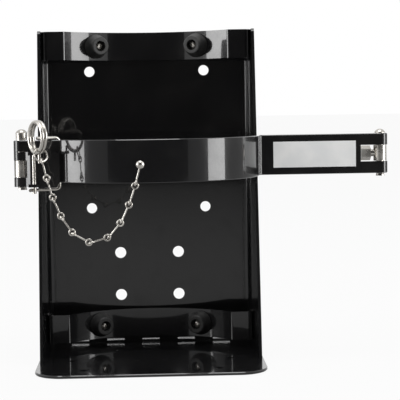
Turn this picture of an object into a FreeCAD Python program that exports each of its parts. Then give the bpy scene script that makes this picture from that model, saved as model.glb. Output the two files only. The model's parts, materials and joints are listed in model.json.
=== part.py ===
# Heavy-duty bracket that holds a 178 mm fire extinguisher on a wall or a vehicle.
# Millimetres. X runs along the wall, -Y points out of the wall, +Z up.
# The origin is the middle of the wide mounting holes, on the plate's back face.
# While a piece is being built, its heights are measured from the shelf's underside.
import FreeCAD, Part
import math
import os
from FreeCAD import Vector

# Cylinder that the bracket holds
cylinder_radius = 89.0
cylinder_axis = 108.0          # from the plate's front face to the cylinder's axis

# Back plate with its two tapered side flanges
plate_sheet = 2.5
plate_width = 192.0
plate_height = 288.0
plate_bend = 6.5               # outer radius of the two long bends
flange_depth_bottom = 100.0
flange_depth_top = 58.0
flange_corner = 5.0

# Mounting holes in the plate
wide_pitch = 106.0
wide_rows = 127.0
wide_lower_row = 128.5         # height of the lower wide row
wide_hole = 9.5
narrow_pitch = 54.0
narrow_rows = 39.5
narrow_lower_row = 47.0
narrow_hole = 10.3

# Shelf under the cylinder
shelf_sheet = 2.5
shelf_width = 195.0
shelf_depth = 154.5
shelf_corner = 24.0
shelf_rim = 0.6                # broken edge all round the shelf
drain_hole = 7.5
drain_row_back = 92.0          # from the plate's back face
drain_row_front = 134.0
drain_back_xs = (-69.0, -12.0, 12.0, 69.0)
drain_front_xs = (-57.0, 0.0, 57.0)

# Curved saddles with their rubber bumpers
bumper_height = 11.0
saddle_radius = cylinder_radius + bumper_height
saddle_sheet = 3.0
saddle_height = 25.4
saddle_half_angle = 46.5
saddle_ear = 40.7              # from the plate's front face to the ear's front face
saddle_tab = 15.0
saddle_bend = 3.5
saddle_tab_bend = 5.0
lower_saddle_bottom = 9.5
upper_saddle_top = shelf_sheet + plate_height     # flush with the plate's top
bumper_angle = 27.4
bumper_base = 22.0
bumper_face = 16.6
bumper_lip = 1.2
bumper_recess = 9.6
bumper_recess_depth = 4.5
screw_shank = 4.8
screw_head = 8.2
screw_head_height = 2.6
screw_socket = 2.6             # across flats of the hexagon socket
screw_washer = 1.2
nut_width = 8.0
nut_height = 3.6

# Strap: band round the front, short ear on the left, long arm on the right
strap_sheet = 3.0
strap_height = 34.0
strap_bottom = 162.5
strap_slack = 2.0              # between the band and the cylinder
strap_radius = cylinder_radius + strap_slack + strap_sheet
strap_left_angle = 43.0
strap_right_angle = 80.0
strap_bend = 3.0
ear_face = 172.0               # from the plate's front face to the ear's front face
arm_face = cylinder_axis       # the arm lies level with the cylinder's axis
strap_edge = 0.5
hinge_outside = 5.0            # from the plate's side to the hinge's axis
hinge_x = -(plate_width / 2 + hinge_outside)
arm_pin_x = 199.0

# Hinge pins and the rolled knuckles round them
pin_radius = 3.2
running_gap = 0.1              # radial, between a pin and what turns on it
end_gap = 0.3                  # along the pins, between neighbours
roll_radius = pin_radius + running_gap + strap_sheet
roll_end = 0.3
pin_head = 9.6
pin_head_height = 3.4
pin_foot = 7.6
pin_foot_height = 2.2

# Latch lever in front of the ear
lever_sheet = 3.0
lever_bottom = 159.4
lever_top = 187.3
lever_reach = 30.6
lever_end_x = hinge_x + lever_reach
lever_corner = 4.0
lever_notch_bottom = 166.8
lever_notch_top = 180.6
guide_width = 9.0
guide_reach = 5.2
guide_sheet = 2.5

# Screw eyes: one anchors the hinge, one swings at the arm's end
eye_radius = 5.6
eye_height = lever_notch_top - lever_notch_bottom - 2 * end_gap
shank_radius = 3.0
thread_nut_width = 10.0
thread_nut_height = 5.0
hinge_shank_length = 62.0
arm_slot_bottom = 172.6
arm_slot_height = 14.0
arm_slot_x = 181.5
swing_nut_width = 11.0
swing_nut_height = 8.0
swing_shank_length = 16.6
collar_radius = 4.4
collar_height = 5.2

# Anchor strip that carries the hinge, welded inside the left flange
anchor_sheet = 3.0
anchor_bottom = 165.0
anchor_height = 28.0
anchor_start = 36.0
anchor_face = 118.0
anchor_margin = 11.0
anchor_end_x = hinge_x - anchor_margin
anchor_bend = 5.0

# Weld beads
weld_leg = 4.0
shelf_weld_length = 16.0
shelf_weld_pitch = 33.0
shelf_weld_count = 5

# Label plate on the arm, left blank
label_width = 70.5
label_height = 22.0
label_sheet = 0.3
label_x = 142.0

# Spring-wire safety pin
wire_radius = 1.5
pin_offset = 10.7
pin_x = hinge_x + pin_offset
coil_radius = 12.1
coil_pitch = 2.8
coil_turns = 2
coil_offset = 4.0
coil_x = pin_x + coil_offset
coil_forward = 12.7            # from the lever's front face to the coil's centre
coil_height = 199.0
coil_turn_angle = 60.0         # coil axis, from straight out of the wall towards +X
tail_length = 8.0
bail_radius = 1.3
bail_bend = 3.5
bail_reach = 30.0
bail_leg_x = hinge_x + bail_reach
bail_clear = 0.35
bail_start = 2.4               # from the shank's axis to the bail's cut end
bail_drop = 2.4

# Chain between the safety pin and the band
link_count = 10
link_pitch = 15.7
link_wire = 0.7
link_eye = 2.3
link_inset = 1.15             # from the point where two links meet to an eye's centre
ring_angle = -112.0            # where the ring hangs on the coil; -90 is the coil's bottom
ring_eye = 5.4
ring_wire = 0.7
ring_play = 0.5
rivet_x = -5.8
rivet_height = 177.1
rivet_shank = 1.0
rivet_head = 3.2
rivet_head_height = 1.8
rivet_standoff = 4.0           # from the band to the middle of the last eye

wide_centre = wide_lower_row + wide_rows / 2
hinge_y = -(plate_sheet + ear_face - roll_radius)
arm_pin_y = -(plate_sheet + arm_face - roll_radius)
axis_y = -(plate_sheet + cylinder_axis)
strap_top = strap_bottom + strap_height
lever_back = ear_face + end_gap
lever_face = lever_back + lever_sheet
flange_inside = plate_width / 2 - plate_sheet
up = Vector(0, 0, 1)


def save(name, shape):
    """Write one piece, moved so that the wide mounting holes are centred on the origin."""
    piece = shape.copy()
    piece.translate(Vector(0, 0, -wide_centre))
    piece.exportStep("parts/" + name + ".step")


def front(x, distance, height=0.0):
    """Point at a distance in front of the plate's front face."""
    return Vector(x, -(plate_sheet + distance), height)


def left_of(direction):
    return Vector(-direction.y, direction.x, 0)


def bent_edges(corners, radii, offset):
    """Edges along a bent line, moved sideways by offset, with an arc at each inner corner."""
    edges = []
    first = (corners[1] - corners[0]).normalize()
    start = corners[0] + left_of(first) * offset
    for before, corner, after, radius in zip(corners, corners[1:], corners[2:], radii):
        incoming = (corner - before).normalize()
        outgoing = (after - corner).normalize()
        turn = math.atan2(incoming.cross(outgoing).z, incoming.dot(outgoing))
        side = math.copysign(1.0, turn)
        trim = radius * math.tan(abs(turn) / 2)
        arc_start = corner - incoming * trim
        arc_end = corner + outgoing * trim
        centre = arc_start + left_of(incoming) * (side * radius)
        to_middle = (corner - centre).normalize()
        a = arc_start + left_of(incoming) * offset
        b = arc_end + left_of(outgoing) * offset
        middle = centre + to_middle * (radius - side * offset)
        if (a - start).Length > 1e-4:
            edges.append(Part.LineSegment(start, a).toShape())
        edges.append(Part.Arc(a, middle, b).toShape())
        start = b
    last = (corners[-1] - corners[-2]).normalize()
    edges.append(Part.LineSegment(start, corners[-1] + left_of(last) * offset).toShape())
    return edges


def bent_strip(corners, radii, thickness, bottom, height):
    """Upright sheet strip; its wall lies on the left of the line through the corners."""
    outer = bent_edges(corners, radii, 0.0)
    inner = bent_edges(corners, radii, thickness)
    ends = []
    for index in (0, -1):
        a = outer[index].Vertexes[index].Point
        b = inner[index].Vertexes[index].Point
        ends.append(Part.LineSegment(a, b).toShape())
    wire = Part.Wire(Part.__sortEdges__(outer + inner + ends))
    face = Part.Face(wire)
    face.translate(Vector(0, 0, bottom))
    return face.extrude(Vector(0, 0, height))


def around_axis(radius, angle, height=0.0):
    """Point on a circle round the cylinder's axis; angle 0 is at the front, positive to the right."""
    a = math.radians(angle)
    return Vector(radius * math.sin(a), axis_y - radius * math.cos(a), height)


def tangent_corner(radius, angle_a, angle_b):
    """Where the tangents to that circle at two angles meet."""
    half = math.radians(angle_b - angle_a) / 2
    return around_axis(radius / math.cos(half), (angle_a + angle_b) / 2)


def tangent_meets(radius, angle, y):
    """Where the tangent to that circle at one angle reaches a given y."""
    a = math.radians(angle)
    point = around_axis(radius, angle)
    along = (y - point.y) / math.sin(a)
    return Vector(point.x + along * math.cos(a), y, 0)


def upright(radius, x, y, bottom, height):
    return Part.makeCylinder(radius, height, Vector(x, y, bottom))


def box(x0, x1, y0, y1, z0, z1):
    low = Vector(min(x0, x1), min(y0, y1), min(z0, z1))
    return Part.makeBox(abs(x1 - x0), abs(y1 - y0), abs(z1 - z0), low)


def hexagon(width, height, centre, direction):
    """Six-sided prism with the given width across its flats."""
    corner = width / math.sqrt(3)
    points = [Vector(corner * math.cos(math.pi * k / 3), corner * math.sin(math.pi * k / 3), 0)
              for k in range(7)]
    prism = Part.Face(Part.makePolygon(points)).extrude(Vector(0, 0, height))
    prism.Placement = FreeCAD.Placement(centre, FreeCAD.Rotation(up, direction))
    return prism


def domed_head(radius, height, centre, direction):
    """Low dome, such as a rivet's head, with its flat side at the centre point."""
    ball = (radius * radius + height * height) / (2 * height)
    dome = Part.makeSphere(ball, Vector(0, 0, height - ball))
    dome = dome.common(Part.makeCylinder(radius, height))
    dome.Placement = FreeCAD.Placement(centre, FreeCAD.Rotation(up, direction))
    return dome


def rod(start, end, radius):
    return Part.makeCylinder(radius, (end - start).Length, start, end - start)


def fused(shapes):
    return shapes[0].multiFuse(shapes[1:]).removeSplitter()


def back_plate():
    half = plate_width / 2
    corners = [Vector(half, -flange_depth_bottom, 0), Vector(half, 0, 0),
               Vector(-half, 0, 0), Vector(-half, -flange_depth_bottom, 0)]
    plate = bent_strip(corners, [plate_bend] * 2, plate_sheet, shelf_sheet, plate_height)
    bottom = shelf_sheet
    top = shelf_sheet + plate_height
    slope = (flange_depth_bottom - flange_depth_top) / plate_height
    waste = Part.makePolygon([
        Vector(-plate_width, -flange_depth_bottom, bottom),
        Vector(-plate_width, -flange_depth_top, top),
        Vector(-plate_width, -flange_depth_top + slope * plate_sheet, top + plate_sheet),
        Vector(-plate_width, -flange_depth_bottom - plate_width, top + plate_sheet),
        Vector(-plate_width, -flange_depth_bottom - plate_width, bottom),
        Vector(-plate_width, -flange_depth_bottom, bottom)])
    plate = plate.cut(Part.Face(waste).extrude(Vector(2 * plate_width, 0, 0)))
    tips = [edge for edge in plate.Edges
            if abs(edge.BoundBox.YLength) < 1e-3 and abs(edge.BoundBox.ZLength) < 1e-3
            and abs(edge.BoundBox.YMin + flange_depth_top) < 1e-2
            and abs(edge.BoundBox.ZMin - top) < 1e-2]
    plate = plate.makeFillet(flange_corner, tips)
    holes = [(sx * wide_pitch / 2, wide_lower_row + row * wide_rows, wide_hole)
             for sx in (-1, 1) for row in (0, 1)]
    holes += [(sx * narrow_pitch / 2, narrow_lower_row + row * narrow_rows, narrow_hole)
              for sx in (-1, 1) for row in (0, 1)]
    for x, z, width in holes:
        plate = plate.cut(Part.makeCylinder(width / 2, 3 * plate_sheet,
                                            Vector(x, plate_sheet, z), Vector(0, -1, 0)))
    return plate


def shelf():
    half = shelf_width / 2
    plate = box(-half, half, 0, -shelf_depth, 0, shelf_sheet)
    corners = [edge for edge in plate.Edges
               if edge.BoundBox.ZLength > shelf_sheet / 2 and edge.BoundBox.YMin < -shelf_depth + 1]
    plate = plate.makeFillet(shelf_corner, corners)
    rim = [edge for edge in plate.Edges
           if edge.BoundBox.ZLength < 1e-3 and edge.BoundBox.YMin < -shelf_corner]
    plate = plate.makeChamfer(shelf_rim, rim)
    spots = [(x, drain_row_back) for x in drain_back_xs] + [(x, drain_row_front) for x in drain_front_xs]
    for x, depth in spots:
        plate = plate.cut(upright(drain_hole / 2, x, -depth, -1, shelf_sheet + 2))
    return plate


def bead(a, b, first, second):
    """Fillet weld between two faces: a rounded wedge along a to b, its legs along first and second."""
    leg_a = a + first * weld_leg
    leg_b = a + second * weld_leg
    crown = a + (first + second) * (weld_leg * 0.62)
    outline = Part.Wire([Part.LineSegment(a, leg_a).toShape(),
                         Part.Arc(leg_a, crown, leg_b).toShape(),
                         Part.LineSegment(leg_b, a).toShape()])
    return Part.Face(outline).extrude(b - a)


def shelf_welds():
    beads = []
    for index in range(shelf_weld_count):
        middle = (index - (shelf_weld_count - 1) / 2) * shelf_weld_pitch
        a = front(middle - shelf_weld_length / 2, 0, shelf_sheet)
        b = front(middle + shelf_weld_length / 2, 0, shelf_sheet)
        beads.append(bead(a, b, Vector(0, -1, 0), up))
    return Part.makeCompound(beads)


def saddle(bottom):
    inside = flange_inside
    ear_y = -(plate_sheet + saddle_ear)
    left = tangent_meets(saddle_radius, 180 + saddle_half_angle, ear_y)
    corners = [Vector(-inside, ear_y + saddle_tab, 0), Vector(-inside, ear_y, 0), left,
               tangent_corner(saddle_radius, 180 + saddle_half_angle, 180 - saddle_half_angle),
               Vector(-left.x, ear_y, 0), Vector(inside, ear_y, 0),
               Vector(inside, ear_y + saddle_tab, 0)]
    radii = [saddle_tab_bend, saddle_bend, saddle_radius, saddle_bend, saddle_tab_bend]
    strip = bent_strip(corners, radii, saddle_sheet, bottom, saddle_height)
    middle = bottom + saddle_height / 2
    for side in (-1, 1):
        centre = around_axis(saddle_radius - 1, 180 - side * bumper_angle, middle)
        outward = centre - Vector(0, axis_y, middle)
        strip = strip.cut(Part.makeCylinder(screw_shank / 2 + 0.2, 3 * saddle_sheet, centre, outward))
    return strip


def saddle_welds():
    beads = []
    for bottom in (lower_saddle_bottom, upper_saddle_top - saddle_height):
        for side in (-1, 1):
            a = Vector(side * flange_inside, -(plate_sheet + saddle_ear) + saddle_tab, bottom + 3)
            b = a + up * (saddle_height - 6)
            beads.append(bead(a, b, Vector(0, 1, 0), Vector(-side, 0, 0) * (saddle_sheet / weld_leg)))
    return Part.makeCompound(beads)


def bumper_frame(side, middle):
    """Seat of one bumper on its saddle, and the direction it stands out in."""
    seat = around_axis(saddle_radius, 180 - side * bumper_angle, middle)
    return seat, (Vector(0, axis_y, middle) - seat).normalize()


def bumper(side, middle):
    seat, out = bumper_frame(side, middle)
    extra = 2.0
    base = bumper_base / 2
    face = bumper_face / 2
    profile = Part.Wire([
        Part.LineSegment(Vector(0, 0, -extra), Vector(base, 0, -extra)).toShape(),
        Part.LineSegment(Vector(base, 0, -extra), Vector(base, 0, 1.5)).toShape(),
        Part.LineSegment(Vector(base, 0, 1.5), Vector(face, 0, bumper_height - bumper_lip)).toShape(),
        Part.Arc(Vector(face, 0, bumper_height - bumper_lip),
                 Vector(face - bumper_lip * 0.3, 0, bumper_height - bumper_lip * 0.3),
                 Vector(face - bumper_lip, 0, bumper_height)).toShape(),
        Part.LineSegment(Vector(face - bumper_lip, 0, bumper_height),
                         Vector(0, 0, bumper_height)).toShape(),
        Part.LineSegment(Vector(0, 0, bumper_height), Vector(0, 0, -extra)).toShape()])
    body = Part.Face(profile).revolve(Vector(0, 0, 0), up, 360)
    recess = Part.makeCylinder(bumper_recess / 2, bumper_height,
                               Vector(0, 0, bumper_height - bumper_recess_depth))
    bore = Part.makeCylinder(screw_shank / 2 + 0.2, bumper_height + 2 * extra, Vector(0, 0, -2 * extra))
    body = body.cut(recess).cut(bore)
    body.Placement = FreeCAD.Placement(seat, FreeCAD.Rotation(up, out))
    well = Part.makeCylinder(saddle_radius, 3 * bumper_base,
                             Vector(0, axis_y, middle - 1.5 * bumper_base))
    return body.common(well)


def bumper_screw(side, middle):
    seat, out = bumper_frame(side, middle)
    foot = -(saddle_sheet + nut_height + 1.0)
    head_base = bumper_height - bumper_recess_depth
    shank = Part.makeCylinder(screw_shank / 2, head_base - foot, Vector(0, 0, foot))
    head = domed_head(screw_head / 2, screw_head_height, Vector(0, 0, head_base), up)
    screw = shank.fuse(head)
    socket = hexagon(screw_socket, screw_head_height, Vector(0, 0, head_base + 1.0), up)
    screw = screw.cut(socket)
    screw.Placement = FreeCAD.Placement(seat, FreeCAD.Rotation(up, out))
    return screw


def bumper_nut(side, middle):
    seat, out = bumper_frame(side, middle)
    nut = hexagon(nut_width, nut_height, Vector(0, 0, -saddle_sheet - 0.1 - nut_height), up)
    nut = nut.cut(Part.makeCylinder(screw_shank / 2 + 0.05, 3 * nut_height,
                                    Vector(0, 0, -saddle_sheet - 2 * nut_height)))
    nut.Placement = FreeCAD.Placement(seat, FreeCAD.Rotation(up, out))
    return nut


def bumper_spots():
    lower = lower_saddle_bottom + saddle_height / 2
    upper = upper_saddle_top - saddle_height / 2
    return [("upper_left", -1, upper), ("upper_right", 1, upper),
            ("lower_left", -1, lower), ("lower_right", 1, lower)]


def curl(pin_x_at, pin_y_at, side):
    """Corners of a strip rolled three quarters round a pin, from the strip's side to its end."""
    r = roll_radius
    return [Vector(pin_x_at + side * r, pin_y_at - r, 0), Vector(pin_x_at + side * r, pin_y_at + r, 0),
            Vector(pin_x_at - side * r, pin_y_at + r, 0),
            Vector(pin_x_at - side * r, pin_y_at - roll_end, 0)]


def strap():
    left_roll = curl(hinge_x, hinge_y, -1)
    right_roll = curl(arm_pin_x, arm_pin_y, 1)
    corners = left_roll[::-1]
    corners += [tangent_meets(strap_radius, -strap_left_angle, -(plate_sheet + ear_face)),
                tangent_corner(strap_radius, -strap_left_angle, strap_right_angle),
                tangent_meets(strap_radius, strap_right_angle, -(plate_sheet + arm_face))]
    corners += right_roll
    radii = [roll_radius] * 3 + [strap_bend, strap_radius, strap_bend] + [roll_radius] * 3
    band = bent_strip(corners, radii, strap_sheet, strap_bottom, strap_height)
    rims = [edge for edge in band.Edges
            if edge.BoundBox.ZLength < 1e-3 and edge.Length > 20
            and edge.BoundBox.YMin < -(plate_sheet + arm_face) + 1e-3]
    outer = [edge for edge in rims if on_front_side(edge)]
    band = band.makeChamfer(strap_edge, outer)
    knuckle_bottom = lever_top + end_gap
    ear_end = hinge_x + roll_radius + 5.2
    band = band.cut(box(hinge_x - 2 * roll_radius, ear_end, hinge_y - 2 * roll_radius,
                        hinge_y + 2 * roll_radius, strap_bottom - 1, knuckle_bottom))
    band = band.cut(box(arm_slot_x, arm_pin_x + 2 * roll_radius, arm_pin_y - 2 * roll_radius,
                        arm_pin_y + 2 * roll_radius, arm_slot_bottom,
                        arm_slot_bottom + arm_slot_height))
    hole = rod(rivet_seat(-strap_sheet - 1), rivet_seat(1), rivet_shank + 0.05)
    return band.cut(hole)


def on_front_side(edge):
    """True for the edges of the strap's outer face."""
    middle = edge.valueAt((edge.FirstParameter + edge.LastParameter) / 2)
    distance = math.hypot(middle.x, middle.y - axis_y)
    on_arc = abs(distance - strap_radius) < 1e-2
    on_flat = (abs(middle.y + plate_sheet + ear_face) < 1e-2 or
               abs(middle.y + plate_sheet + arm_face) < 1e-2)
    return on_arc or on_flat


def rivet_seat(height_over_band):
    """Point on the chain rivet's axis, at a height over the band's outer face."""
    angle = math.degrees(math.asin(rivet_x / strap_radius))
    return around_axis(strap_radius + height_over_band, angle, rivet_height)


def lever():
    corners = curl(hinge_x, hinge_y, -1)[::-1]
    face_y = -(plate_sheet + lever_face)
    tangent_y = -(plate_sheet + ear_face)
    joggle = hinge_x + 3.4
    corners += [Vector(joggle, tangent_y, 0), Vector(joggle + lever_sheet + 1.6, face_y, 0),
                Vector(lever_end_x, face_y, 0)]
    radii = [roll_radius] * 3 + [2.0, 4.2]
    plate = bent_strip(corners, radii, lever_sheet, lever_bottom, lever_top - lever_bottom)
    tips = [edge for edge in plate.Edges
            if abs(edge.BoundBox.XMin - lever_end_x) < 1e-3 and edge.BoundBox.YLength > 1
            and edge.BoundBox.ZLength < 1e-3]
    plate = plate.makeFillet(lever_corner, tips)
    plate = plate.cut(box(hinge_x - 2 * roll_radius, hinge_x + roll_radius + 0.2,
                          hinge_y - roll_radius - 1, hinge_y + roll_radius + 1,
                          lever_notch_bottom, lever_notch_top))
    for bottom in (lever_bottom, lever_top - guide_sheet):
        ear = box(pin_x - guide_width / 2, pin_x + guide_width / 2, face_y + 0.5,
                  face_y - guide_reach, bottom, bottom + guide_sheet)
        plate = plate.fuse(ear)
    shank = upright(wire_radius + 0.3, pin_x, shank_y(), lever_bottom - 1, 2 * strap_height)
    return plate.cut(shank)


def shank_y():
    """The safety pin's shank runs just clear of the lever's face."""
    return -(plate_sheet + lever_face + wire_radius + 0.5)


def pin(x, y, bottom, top):
    """Headed hinge pin; its foot is spread under the last knuckle."""
    shaft = upright(pin_radius, x, y, bottom - pin_foot_height, top - bottom + pin_foot_height)
    head = domed_head(pin_head / 2, pin_head_height, Vector(x, y, top), up)
    foot = Part.makeCone(pin_radius, pin_foot / 2, pin_foot_height,
                         Vector(x, y, bottom), Vector(0, 0, -1))
    return fused([shaft, head, foot])


def screw_eye(x, y, middle, direction, length):
    """Barrel that turns on a pin, with a threaded shank standing out of its side."""
    centre = Vector(x, y, middle)
    barrel = upright(eye_radius, x, y, middle - eye_height / 2, eye_height)
    shank = Part.makeCylinder(shank_radius, length, centre, direction)
    eye = barrel.fuse(shank)
    return eye.cut(upright(pin_radius + running_gap, x, y, middle - eye_height, 2 * eye_height))


def thread_nut(centre, direction, width, height):
    nut = hexagon(width, height, centre, direction)
    return nut.cut(Part.makeCylinder(shank_radius + 0.05, 3 * height,
                                     centre - direction * height, direction))


def eye_middle():
    return (lever_notch_bottom + lever_notch_top) / 2


def anchor():
    leg_x = -(flange_inside - anchor_sheet)
    corners = [Vector(anchor_end_x, -(plate_sheet + anchor_face), 0),
               Vector(leg_x, -(plate_sheet + anchor_face), 0),
               Vector(leg_x, -(plate_sheet + anchor_start), 0)]
    strip = bent_strip(corners, [anchor_bend], anchor_sheet, anchor_bottom, anchor_height)
    hole = Part.makeCylinder(shank_radius + 0.3, 4 * anchor_sheet,
                             front(hinge_x, anchor_face + anchor_sheet, eye_middle()), Vector(0, 1, 0))
    return strip.cut(hole)


def anchor_welds():
    x = -flange_inside
    length = 24.0
    start = -(plate_sheet + anchor_start)
    beads = []
    for z, away in ((anchor_bottom, -1), (anchor_bottom + anchor_height, 1)):
        a = Vector(x, start, z)
        b = Vector(x, start - length, z)
        beads.append(bead(a, b, up * away, Vector(1, 0, 0) * (anchor_sheet / weld_leg)))
    return Part.makeCompound(beads)


def hinge_nuts():
    back = Vector(0, 1, 0)
    in_front = front(hinge_x, anchor_face + thread_nut_height, eye_middle())
    behind = front(hinge_x, anchor_face - anchor_sheet, eye_middle())
    return Part.makeCompound([thread_nut(in_front, back, thread_nut_width, thread_nut_height),
                              thread_nut(behind, back, thread_nut_width, thread_nut_height)])


def label():
    middle = strap_bottom + strap_height / 2
    y = -(plate_sheet + arm_face)
    return box(label_x - label_width / 2, label_x + label_width / 2, y, y - label_sheet,
               middle - label_height / 2, middle + label_height / 2)


def coil_centre():
    return front(coil_x, lever_face + coil_forward, coil_height)


def coil_point(angle, radius=coil_radius, along=0.0):
    """Point round the safety pin's coil; 0 degrees is its back side, 90 its top."""
    turn = math.radians(coil_turn_angle)
    back = Vector(-math.cos(turn), math.sin(turn), 0)
    axis = Vector(math.sin(turn), math.cos(turn), 0)
    a = math.radians(angle)
    return coil_centre() + back * (radius * math.cos(a)) + up * (radius * math.sin(a)) + axis * along


def safety_pin():
    turn = math.radians(coil_turn_angle)
    axis = Vector(math.sin(turn), math.cos(turn), 0)
    turns = [Part.makeTorus(coil_radius, wire_radius,
                            coil_centre() + axis * ((k - (coil_turns - 1) / 2) * coil_pitch), axis)
             for k in range(coil_turns)]
    shank_top = Vector(pin_x, shank_y(), lever_top + 3.0)
    shank_foot = Vector(pin_x, shank_y(), lever_bottom - bail_drop - wire_radius - 1.2)
    join = coil_point(-35, along=-coil_pitch / 2)
    tail_start = coil_point(-92, along=coil_pitch / 2)
    lead = (join - shank_top).normalize()
    shape = turns[0].multiFuse(turns[1:])
    for piece in (rod(shank_top, join + lead * 0.4, wire_radius * 0.97),
                  Part.makeSphere(wire_radius * 1.01, shank_top),
                  rod(shank_foot, shank_top, wire_radius),
                  rod(tail_start + up * 0.3, tail_start - up * tail_length, wire_radius * 0.96)):
        shape = shape.fuse(piece)
    return shape


def bail():
    """Sprung wire loop from the coil, over the ear, down behind it and back under the lever."""
    leg_y = -(plate_sheet + ear_face - strap_sheet - bail_clear - bail_radius)
    over = strap_top + bail_clear + bail_radius
    under = lever_bottom - bail_drop
    start = Vector(pin_x + bail_start, shank_y() + 0.6, over)
    hook = wire_radius + bail_radius + 0.3
    points = [start, Vector(bail_leg_x, leg_y, over), Vector(bail_leg_x, leg_y, under),
              Vector(pin_x + 2.0, shank_y() + hook, under),
              Vector(pin_x - hook, shank_y() + hook, under),
              Vector(pin_x - hook, shank_y() - hook + 0.6, under)]
    edges = []
    begin = points[0]
    for before, corner, after in zip(points, points[1:], points[2:]):
        incoming = (corner - before).normalize()
        outgoing = (after - corner).normalize()
        turn = incoming.getAngle(outgoing)
        radius = min(bail_bend, hook)
        trim = radius * math.tan(turn / 2)
        a = corner - incoming * trim
        b = corner + outgoing * trim
        bisector = (outgoing - incoming).normalize()
        centre = corner + bisector * (radius / math.cos(turn / 2))
        middle = centre - bisector * radius
        edges += [Part.LineSegment(begin, a).toShape(), Part.Arc(a, middle, b).toShape()]
        begin = b
    edges.append(Part.LineSegment(begin, points[-1]).toShape())
    path = Part.Wire(edges)
    section = Part.Wire(Part.makeCircle(bail_radius, points[0], points[1] - points[0]))
    return path.makePipeShell([section], True, True)


def chain_ring_frame():
    """Centre of the ring on the coil, its normal, and the point where the first link hangs."""
    at = coil_point(ring_angle)
    outward = (at - coil_centre()).normalize()
    ahead = (coil_point(ring_angle + 1) - coil_point(ring_angle - 1)).normalize()
    centre = at + outward * (ring_eye - ring_wire - wire_radius - ring_play)
    return centre, ahead, centre + outward * ring_eye + up * link_inset


def chain_ring():
    centre, normal, _ = chain_ring_frame()
    return Part.makeTorus(ring_eye, ring_wire, centre, normal)


def chain_joints():
    """Points where the links meet: a hanging chain between the ring and the rivet."""
    _, _, start = chain_ring_frame()
    end = rivet_seat(rivet_standoff)
    level = Vector(end.x - start.x, end.y - start.y, 0)
    span = level.Length
    rise = end.z - start.z
    length = link_count * link_pitch
    target = math.sqrt(length * length - rise * rise)
    low = span / 50
    high = span * 50
    for _ in range(80):
        scale = (low + high) / 2
        if 2 * scale * math.sinh(span / (2 * scale)) > target:
            low = scale
        else:
            high = scale
    lowest = span / 2 - scale * math.asinh(rise / (2 * scale * math.sinh(span / (2 * scale))))
    first = scale * math.sinh(-lowest / scale)
    joints = []
    for index in range(link_count + 1):
        across = lowest + scale * math.asinh((first + index * link_pitch) / scale)
        height = scale * (math.cosh((across - lowest) / scale) - math.cosh(-lowest / scale))
        joints.append(start + level * (across / span) + up * height)
    return joints


def chain_link(a, b, sideways):
    """Straight wire with an eye at each end, the second eye turned a quarter from the first."""
    along = (b - a).normalize()
    flat = (sideways - along * sideways.dot(along)).normalize()
    eye_a = a + along * link_inset
    eye_b = b - along * link_inset
    if b.isEqual(chain_joints()[-1], 1e-6):
        eye_b = b
    reach = link_eye - 0.3 * link_wire
    shank = rod(eye_a + along * reach, eye_b - along * reach, link_wire * 0.98)
    return fused([shank, Part.makeTorus(link_eye, link_wire, eye_a, along.cross(flat)),
                  Part.makeTorus(link_eye, link_wire, eye_b, flat)])


def chain():
    joints = chain_joints()
    facing = Vector(joints[-1].y - joints[0].y, joints[0].x - joints[-1].x, 0).normalize()
    links = [chain_link(a, b, facing) for a, b in zip(joints, joints[1:])]
    return Part.makeCompound([chain_ring()] + links)


def chain_rivet():
    out = (rivet_seat(1) - rivet_seat(0)).normalize()
    under_head = rivet_standoff + link_wire + 0.8
    shank = rod(rivet_seat(-strap_sheet - 0.1), rivet_seat(under_head), rivet_shank)
    head = domed_head(rivet_head, rivet_head_height, rivet_seat(under_head), out)
    tail = domed_head(rivet_head, 1.2, rivet_seat(-strap_sheet - 0.1), out * -1)
    collar = rod(rivet_seat(0.1), rivet_seat(rivet_standoff - link_wire - 0.8), rivet_head * 0.6)
    return fused([shank, head, tail, collar])


os.makedirs("parts", exist_ok=True)
save("back_plate", back_plate())
save("shelf", shelf())
save("shelf_welds", shelf_welds())
save("upper_saddle", saddle(upper_saddle_top - saddle_height))
save("lower_saddle", saddle(lower_saddle_bottom))
save("saddle_welds", saddle_welds())
for spot, side, middle in bumper_spots():
    save("bumper_" + spot, bumper(side, middle))
save("bumper_screws", Part.makeCompound([bumper_screw(s, m) for _, s, m in bumper_spots()]))
save("bumper_nuts", Part.makeCompound([bumper_nut(s, m) for _, s, m in bumper_spots()]))
save("hinge_anchor", anchor())
save("anchor_welds", anchor_welds())
save("hinge_eye", screw_eye(hinge_x, hinge_y, eye_middle(), Vector(0, 1, 0), hinge_shank_length))
save("hinge_nuts", hinge_nuts())
save("strap", strap())
save("label_plate", label())
save("hinge_pin", pin(hinge_x, hinge_y, lever_bottom - end_gap, strap_top + end_gap + collar_height))
collar = upright(collar_radius, hinge_x, hinge_y, strap_top + end_gap, collar_height)
save("hinge_collar", collar.cut(upright(pin_radius + 0.02, hinge_x, hinge_y, strap_top, 20)))
save("latch_lever", lever())
save("arm_pin", pin(arm_pin_x, arm_pin_y, strap_bottom - end_gap, strap_top + end_gap))
slot_middle = arm_slot_bottom + arm_slot_height / 2
save("swing_eye", screw_eye(arm_pin_x, arm_pin_y, slot_middle, Vector(-1, 0, 0), swing_shank_length))
swing_nut_at = Vector(arm_pin_x - swing_shank_length, arm_pin_y, slot_middle)
save("swing_nut", thread_nut(swing_nut_at, Vector(1, 0, 0), swing_nut_width, swing_nut_height))
save("safety_pin", safety_pin())
save("pin_bail", bail())
save("chain", chain())
save("chain_rivet", chain_rivet())
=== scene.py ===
# %% [markdown]
# # A fire extinguisher bracket in gloss black paint and bright zinc
# This lesson dresses a wall bracket whose solids come from a CAD model.
# The shapes arrive finished, so most of the work here is on paint, metal, rubber and light.
# One detail is modelled as well: the rolled thread on the bolt that anchors the hinge.

# %% Load the bracket
import json
import math

import bmesh
import bpy
from mathutils import Matrix, Vector


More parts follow.
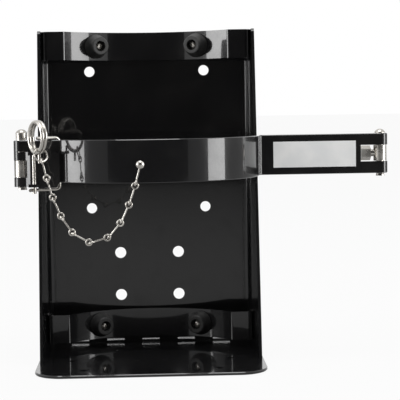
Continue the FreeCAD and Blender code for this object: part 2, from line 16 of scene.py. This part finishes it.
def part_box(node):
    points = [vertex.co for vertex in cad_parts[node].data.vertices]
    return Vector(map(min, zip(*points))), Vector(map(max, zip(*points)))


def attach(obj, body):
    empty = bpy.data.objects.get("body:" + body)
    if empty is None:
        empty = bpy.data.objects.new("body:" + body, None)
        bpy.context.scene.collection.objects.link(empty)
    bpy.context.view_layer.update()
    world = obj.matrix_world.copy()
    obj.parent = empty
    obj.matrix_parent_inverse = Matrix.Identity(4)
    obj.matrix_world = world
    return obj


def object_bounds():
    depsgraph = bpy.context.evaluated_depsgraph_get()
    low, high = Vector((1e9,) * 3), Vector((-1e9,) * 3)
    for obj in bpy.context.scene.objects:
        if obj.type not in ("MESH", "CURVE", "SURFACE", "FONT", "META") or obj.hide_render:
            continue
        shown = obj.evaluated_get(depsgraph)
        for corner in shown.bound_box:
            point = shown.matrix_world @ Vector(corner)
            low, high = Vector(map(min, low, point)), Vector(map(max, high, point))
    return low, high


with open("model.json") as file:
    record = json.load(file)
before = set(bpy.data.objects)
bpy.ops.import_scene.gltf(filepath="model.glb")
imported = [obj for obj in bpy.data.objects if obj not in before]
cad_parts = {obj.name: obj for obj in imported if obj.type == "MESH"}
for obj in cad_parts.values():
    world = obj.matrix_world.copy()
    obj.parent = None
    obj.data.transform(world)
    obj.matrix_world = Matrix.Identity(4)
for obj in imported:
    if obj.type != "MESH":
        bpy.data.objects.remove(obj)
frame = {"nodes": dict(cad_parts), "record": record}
nodes = frame["nodes"]
low_at_start, high_at_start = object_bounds()
print("pieces:", len(nodes), "from", tuple(low_at_start), "to", tuple(high_at_start))

# %% [markdown]
# ## A short way to write shader maths
# A material's pattern is a sum of noises, masks and limits.
# It could be wired by hand, node by node, but then nobody can read it.
# A small wrapper round a socket lets Python's own operators add the Math nodes,
# and one method makes every other kind of node.


# %% Socket wrapper and material helper
class Value:
    """A number that changes over a surface, carried by a node's output socket."""

    def __init__(self, tree, socket):
        self.tree = tree
        self.socket = socket

    def node(self, kind, settings=None, **inputs):
        """Add a node, with its settings first and then its sockets' values or links."""
        made = self.tree.nodes.new(kind)
        for name, value in (settings or {}).items():
            setattr(made, name, value)
        for name, value in inputs.items():
            key = int(name[1:]) if name[1:].isdigit() else name.replace("_", " ")
            target = made.inputs[key]
            if isinstance(value, Value):
                self.tree.links.new(value.socket, target)
            else:
                target.default_value = value
        return made

    def out(self, kind, settings=None, output=0, **inputs):
        """The same, but wrapping one of the new node's outputs."""
        return Value(self.tree, self.node(kind, settings, **inputs).outputs[output])

    def math(self, operation, *values, clamp=False):
        inputs = {"i%d" % i: v for i, v in enumerate(values)}
        return self.out("ShaderNodeMath", {"operation": operation, "use_clamp": clamp}, **inputs)

    def __add__(self, other):
        return self.math("ADD", self, other)

    def __rsub__(self, other):
        return self.math("SUBTRACT", other, self)

    def __mul__(self, other):
        return self.math("MULTIPLY", self, other)

    def between(self, low, high):
        """0 below low, 1 above high, and a smooth step from one to the other."""
        return self.out("ShaderNodeMapRange", {"interpolation_type": "SMOOTHSTEP"},
                        i0=self, i1=low, i2=high)

    def colours(self, first, second):
        """A colour that goes from first to second as this value goes from 0 to 1."""
        mixed = self.node("ShaderNodeMix", {"data_type": "RGBA"}, i0=self, i6=first, i7=second)
        return Value(self.tree, mixed.outputs[2])


def finish_material(name, **constants):
    """A material with its Principled shader set, and the place on the object to build patterns on."""
    material = bpy.data.materials.new(name)
    material.use_nodes = True
    tree = material.node_tree
    shader = tree.nodes["Principled BSDF"]
    for socket, value in constants.items():
        shader.inputs[socket.replace("_", " ")].default_value = value
    place = Value(tree, tree.nodes.new("ShaderNodeTexCoord").outputs["Object"])
    return material, shader, place


def noise(place, scale, detail=2.0, roughness=0.5):
    return place.out("ShaderNodeTexNoise", Vector=place, Scale=scale, Detail=detail,
                     Roughness=roughness)


def feed(value, shader, socket):
    value.tree.links.new(value.socket, shader.inputs[socket])


def relief(height, depth, shader):
    """Push a pattern's height, in metres, into the shader's normal."""
    bump = height.out("ShaderNodeBump", Height=height, Distance=depth, Strength=1.0)
    feed(bump, shader, "Normal")


print("helpers ready")

# %% [markdown]
# ## Gloss black powder coat
# The bracket is steel with a thick black powder coat, baked until it flows.
# Such a coat is almost a mirror, but it keeps a faint orange peel, a few millimetres across.
# A dark base under a clear coat gives the sharp reflections, and a shallow noise gives the peel.
# Handling leaves a thin haze of dust and rubbing, so the roughness drifts over the sheet.

# %% Black paint
paint, paint_shader, place = finish_material(
    "gloss_black_paint", Coat_Roughness=0.045, Coat_IOR=1.44, Specular_IOR_Level=0.15)
haze = noise(place, 14.0, 4.0).between(0.42, 0.72)
fine_dust = noise(place, 900.0, 3.0, 0.6).between(0.60, 0.80)
handled = noise(place, 55.0, 3.0).between(0.5, 0.8)
feed((haze * 0.55 + fine_dust * 0.25 + handled * 0.2).colours(
    (0.0065, 0.0065, 0.007, 1), (0.017, 0.0165, 0.016, 1)), paint_shader, "Base Color")
feed(haze * 0.07 + fine_dust * 0.10 + 0.2, paint_shader, "Roughness")
feed(1.0 - handled * 0.16, paint_shader, "Coat Weight")
peel = noise(place, 260.0, 1.0)
relief(peel, 0.00006, paint_shader)
print("paint:", paint.name)

# %% [markdown]
# ## Bright zinc on the pins, bolts and wire
# The pins, bolts, wire and chain are zinc plated, so they are bright, with a fine cloudy grain.
# A metal shader with a middling roughness looks right, and two noises break it up:
# a wide one for the cloudiness of the plating, and a fine one for the grain of the rolled steel.

# %% Zinc plate
zinc, zinc_shader, place = finish_material("zinc_steel", Metallic=1.0)
cloud = noise(place, 90.0, 3.0).between(0.35, 0.7)
grain = noise(place, 1500.0, 2.0)
feed(cloud.colours((0.44, 0.42, 0.39, 1), (0.60, 0.58, 0.54, 1)), zinc_shader, "Base Color")
feed(cloud * 0.10 + grain * 0.08 + 0.18, zinc_shader, "Roughness")
relief(grain, 0.00002, zinc_shader)
print("zinc:", zinc.name)

# %% [markdown]
# ## Moulded rubber bumpers
# The four bumpers are moulded black rubber, matt and slightly grey with bloom.
# Rubber has no clear coat, so a high roughness and a low, even colour are enough.

# %% Rubber
rubber, rubber_shader, place = finish_material("black_rubber", IOR=1.45)
bloom = noise(place, 180.0, 3.0).between(0.45, 0.75)
feed(bloom.colours((0.012, 0.012, 0.012, 1), (0.030, 0.029, 0.028, 1)), rubber_shader, "Base Color")
feed(bloom * 0.15 + 0.48, rubber_shader, "Roughness")
relief(noise(place, 1200.0, 2.0), 0.00003, rubber_shader)
print("rubber:", rubber.name)

# %% [markdown]
# ## The bare plate on the arm
# A thin satin foil sits on the arm. It carries no printing.
# Its face is lacquered nearly white, so only a little metal is mixed in, under soft clouds.

# %% Foil
foil, foil_shader, place = finish_material("bare_label", Metallic=0.1)
smear = noise(place, 45.0, 3.0).between(0.35, 0.75)
feed(smear.colours((0.76, 0.77, 0.77, 1), (0.84, 0.84, 0.83, 1)), foil_shader, "Base Color")
feed(smear * 0.12 + 0.30, foil_shader, "Roughness")
print("foil:", foil.name)

# %% [markdown]
# ## Putting the finishes on
# The record says which finish each node takes, so the list isn't written again here.
# Every CAD node gets its material in place of the plain one that it came with.

# %% Dress every node
finishes = {"gloss_black_paint": paint, "zinc_steel": zinc, "black_rubber": rubber,
            "bare_label": foil}
for entry in frame["record"]["subparts"]:
    dressed = nodes[entry["node"]]
    dressed.data.materials.clear()
    dressed.data.materials.append(finishes[entry["material_slot"]])

# %% [markdown]
# ## Rolled threads
# The bolt that anchors the hinge is threaded on both sides of its two nuts.
# A true helix could be swept, but at this size the eye can't tell it from a stack of ridges.
# So one ridge is spun round the bolt's axis, and copies of it are set one pitch apart.
# They stand about a fifth of a millimetre out of the plain shank, and ride with it.


# %% Thread ridges
def thread(name, start, end, radius, pitch, depth, body):
    """Ridges round a straight bolt from start to end, as one mesh that rides on a body."""
    axis = (end - start).normalized()
    count = int((end - start).length / pitch)
    ridges = bmesh.new()
    turned = Vector((0, 0, 1)).rotation_difference(axis).to_matrix().to_4x4()
    for index in range(count):
        ridge = bmesh.new()
        rim = [ridge.verts.new((radius - depth, 0, -pitch * 0.42)),
               ridge.verts.new((radius + depth, 0, 0)),
               ridge.verts.new((radius - depth, 0, pitch * 0.42))]
        profile = [ridge.edges.new((rim[0], rim[1])), ridge.edges.new((rim[1], rim[2])),
                   ridge.edges.new((rim[2], rim[0]))]
        bmesh.ops.spin(ridge, geom=rim + profile, cent=(0, 0, 0), axis=(0, 0, 1),
                       angle=2 * math.pi, steps=32, use_merge=True)
        bmesh.ops.recalc_face_normals(ridge, faces=ridge.faces)
        lift = Matrix.Translation(start + axis * (index + 0.5) * pitch)
        bmesh.ops.transform(ridge, matrix=lift @ turned, verts=ridge.verts)
        part = bpy.data.meshes.new("ridge")
        ridge.to_mesh(part)
        ridges.from_mesh(part)
        bpy.data.meshes.remove(part)
        ridge.free()
    mesh = bpy.data.meshes.new(name)
    ridges.to_mesh(mesh)
    ridges.free()
    mesh.materials.append(zinc)
    made = bpy.data.objects.new(name, mesh)
    bpy.context.scene.collection.objects.link(made)
    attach(made, body)
    print(name, "ridges:", count)


eye_low, eye_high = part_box("hinge_eye")
nuts_low, nuts_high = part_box("hinge_nuts")
bolt_x = (nuts_low[0] + nuts_high[0]) / 2
bolt_z = (nuts_low[2] + nuts_high[2]) / 2
bolt_radius = 0.003
ridge_pitch = 0.00125
ridge_depth = 0.00022
plain_shank = 0.026             # from the front of the eye to the first ridge
bare_end = 0.0006
ridge_sizes = (bolt_radius, ridge_pitch, ridge_depth)
thread("hinge_thread_front", Vector((bolt_x, eye_low[1] + plain_shank, bolt_z)),
       Vector((bolt_x, nuts_low[1], bolt_z)), *ridge_sizes, "bracket")
thread("hinge_thread_back", Vector((bolt_x, nuts_high[1], bolt_z)),
       Vector((bolt_x, eye_high[1] - bare_end, bolt_z)), *ridge_sizes, "bracket")

# %% [markdown]
# ## Floor, backdrop and light
# The photograph is a plain studio one: white all round, with a soft shadow under the shelf.
# Two tall soft boxes stand at the sides, so curved sheets show a bright band near each end,
# while flat sheets look back at the dark end of the studio, behind the camera.
# A dark card stands in for that end. It only reflects, and is never seen itself.


# %% Floor and card
def flat_sheet(name, matrix, size, material):
    """A square sheet with its place in its mesh."""
    grid = bmesh.new()
    bmesh.ops.create_grid(grid, x_segments=1, y_segments=1, size=size)
    bmesh.ops.transform(grid, matrix=matrix, verts=grid.verts)
    mesh = bpy.data.meshes.new(name)
    grid.to_mesh(mesh)
    grid.free()
    mesh.materials.append(material)
    sheet = bpy.data.objects.new(name, mesh)
    bpy.context.scene.collection.objects.link(sheet)
    return sheet


floor_finish, floor_shader, place = finish_material(
    "studio_floor", Base_Color=(0.5, 0.5, 0.5, 1), Roughness=0.9)
tree = floor_finish.node_tree
rays = tree.nodes.new("ShaderNodeLightPath")
seen = Value(tree, rays.outputs["Is Camera Ray"])
white = place.out("ShaderNodeEmission", Color=(1, 1, 1, 1), Strength=1.0)
paper = Value(tree, floor_shader.outputs[0])
shown = seen.out("ShaderNodeMixShader", i0=seen * 0.93, i1=paper, i2=white)
tree.links.new(shown.socket, tree.nodes["Material Output"].inputs["Surface"])
floor_level = low_at_start.z - 0.0005
flat_sheet("floor", Matrix.Translation((0, 0, floor_level)), 40.0, floor_finish)

card_finish, card_shader, place = finish_material(
    "dark_card", Base_Color=(0.025, 0.023, 0.021, 1), Roughness=1.0)
card_place = Matrix.Translation((0, -2.6, 1.2)) @ Matrix.Rotation(math.radians(90), 4, "X")
card = flat_sheet("card_behind_camera", card_place, 2.1, card_finish)
card.visible_camera = False
card.visible_shadow = False
card.visible_diffuse = False
print("floor at", round(floor_level, 4))

# %% World and lamps
world = bpy.data.worlds.new("studio")
bpy.context.scene.world = world
world.use_nodes = True
tree = world.node_tree
rays = tree.nodes.new("ShaderNodeLightPath")
seen = Value(tree, rays.outputs["Is Camera Ray"])
mirrored = Value(tree, rays.outputs["Is Glossy Ray"])
through = Value(tree, rays.outputs["Is Transmission Ray"])
white_for = seen.math("MAXIMUM", seen.math("MAXIMUM", seen, mirrored), through)
background = tree.nodes["Background"]
background.inputs["Color"].default_value = (1, 1, 1, 1)
feed(white_for * 0.55 + 0.45, background, "Strength")


def soft_box(name, place, target, width, height, power):
    """A lamp as large as a studio soft box, aimed at a point."""
    light = bpy.data.lights.new(name, "AREA")
    light.shape = "RECTANGLE"
    light.size, light.size_y, light.energy = width, height, power
    lamp = bpy.data.objects.new(name, light)
    lamp.location = place
    lamp.rotation_euler = (Vector(target) - Vector(place)).to_track_quat("-Z", "Y").to_euler()
    bpy.context.scene.collection.objects.link(lamp)


soft_box("soft_box_left", (-2.0, -0.55, 0.35), (0, -0.1, 0), 0.9, 1.5, 36)
soft_box("soft_box_right", (2.0, -0.75, 0.35), (0, -0.1, 0), 0.8, 1.5, 32)
soft_box("soft_box_top", (0, -0.5, 2.2), (0, -0.1, 0), 1.4, 1.0, 26)

# %% [markdown]
# ## Camera
# The photograph was taken with a long lens, nearly level, with the plate seen almost square on.
# The point straight ahead of the camera isn't the picture's middle, so the frame is off centre.
# A lens shift keeps the plate's upright edges parallel, and turning the camera leans them together.
# A small shift and a small turn share the work, which keeps the bracket inside other views too.

# %% Camera
photo_side = 400
plate_to_camera = 1.2
pixels_per_metre = 1070
vanishing_point = (148.2, 110.0)
camera_height = 0.0267
camera_roll = math.radians(0.9)

camera_data = bpy.data.cameras.new("camera")
camera_data.sensor_width = 36.0
camera_data.lens = 36.0 * pixels_per_metre * plate_to_camera / photo_side
camera_data.shift_x = 0.03
camera_data.shift_y = -0.06
focal_pixels = pixels_per_metre * plate_to_camera
lens_middle = (photo_side * (0.5 - camera_data.shift_x), photo_side * (0.5 + camera_data.shift_y))
turn_right = math.atan((lens_middle[0] - vanishing_point[0]) / focal_pixels)
turn_down = math.atan((lens_middle[1] - vanishing_point[1]) / focal_pixels)
camera = bpy.data.objects.new("camera", camera_data)
camera.matrix_world = (Matrix.Translation((0, -plate_to_camera, camera_height))
                       @ Matrix.Rotation(-turn_right, 4, "Z")
                       @ Matrix.Rotation(math.radians(90) - turn_down, 4, "X")
                       @ Matrix.Rotation(-camera_roll, 4, "Z"))
bpy.context.scene.collection.objects.link(camera)
bpy.context.scene.camera = camera
bpy.context.scene.view_settings.view_transform = "Standard"
print("lens", round(camera_data.lens, 1), "shift", camera_data.shift_x, camera_data.shift_y)
